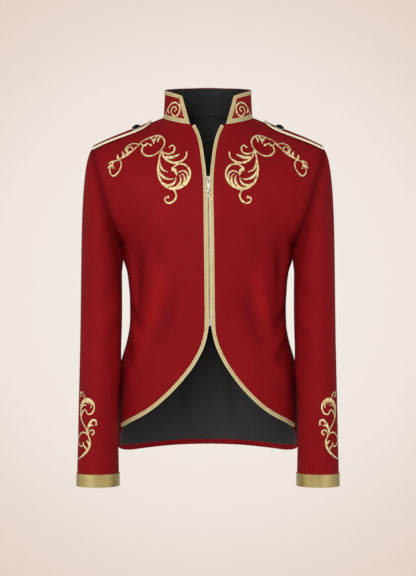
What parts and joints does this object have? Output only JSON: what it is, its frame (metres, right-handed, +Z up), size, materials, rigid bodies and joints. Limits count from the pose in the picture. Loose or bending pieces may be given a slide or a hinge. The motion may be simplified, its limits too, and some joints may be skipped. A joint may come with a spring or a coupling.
{
  "type": "renaissance jacket",
  "caption": "Red zip-fronted costume jacket with stand collar, cut-away fronts, shoulder straps and gold edges, hollow as worn.",
  "frame": {"origin": "on the middle plane, level with the points where the shoulder seams meet the collar, under the collar's middle", "axes": "+Z up, -Y towards the front, +X towards the wearer's left"},
  "size_m": [0.4844, 0.2367, 0.7532],
  "materials": {
    "red_cloth": "dull deep red suiting cloth",
    "lining": "black lining cloth with a faint sheen",
    "gold_braid": "pale gold satin binding and piping",
    "gold_satin": "gold satin band",
    "zip_tape": "beige woven tape",
    "zip_metal": "bright pale plated metal",
    "button": "glossy black with a raised rim",
    "gold_thread": "gold satin stitch embroidery",
    "sewing_thread": "red sewing thread"
  },
  "bodies": {
    "jacket": {"back": "red_cloth", "back_hem": "red_cloth", "back_lining": "lining", "collar": "red_cloth", "collar_braid": "gold_braid", "collar_lining": "lining", "cuff_left": "gold_satin", "cuff_right": "gold_satin", "epaulette_button_left": "button", "epaulette_button_right": "button", "epaulette_left": "red_cloth", "epaulette_piping_left": "gold_braid", "epaulette_piping_right": "gold_braid", "epaulette_right": "red_cloth", "front_binding_left": "gold_braid", "front_binding_right": "gold_braid", "front_left": "red_cloth", "front_right": "red_cloth", "sleeve_left": "red_cloth", "sleeve_right": "red_cloth", "zip_chain": "zip_metal", "zip_slider": "zip_metal", "zip_stop": "zip_metal", "zip_tape_left": "zip_tape", "zip_tape_right": "zip_tape"},
    "pull_tab": {"zip_pull": "zip_metal"}
  },
  "joints": [
    {"name": "pull_tab_swing", "type": "hinge", "parent": "jacket", "child": "pull_tab", "pos_m": [0.00036, -0.11568, -0.12676], "axis": [-1, 0, 0], "range_deg": [0, 165]}
  ]
}
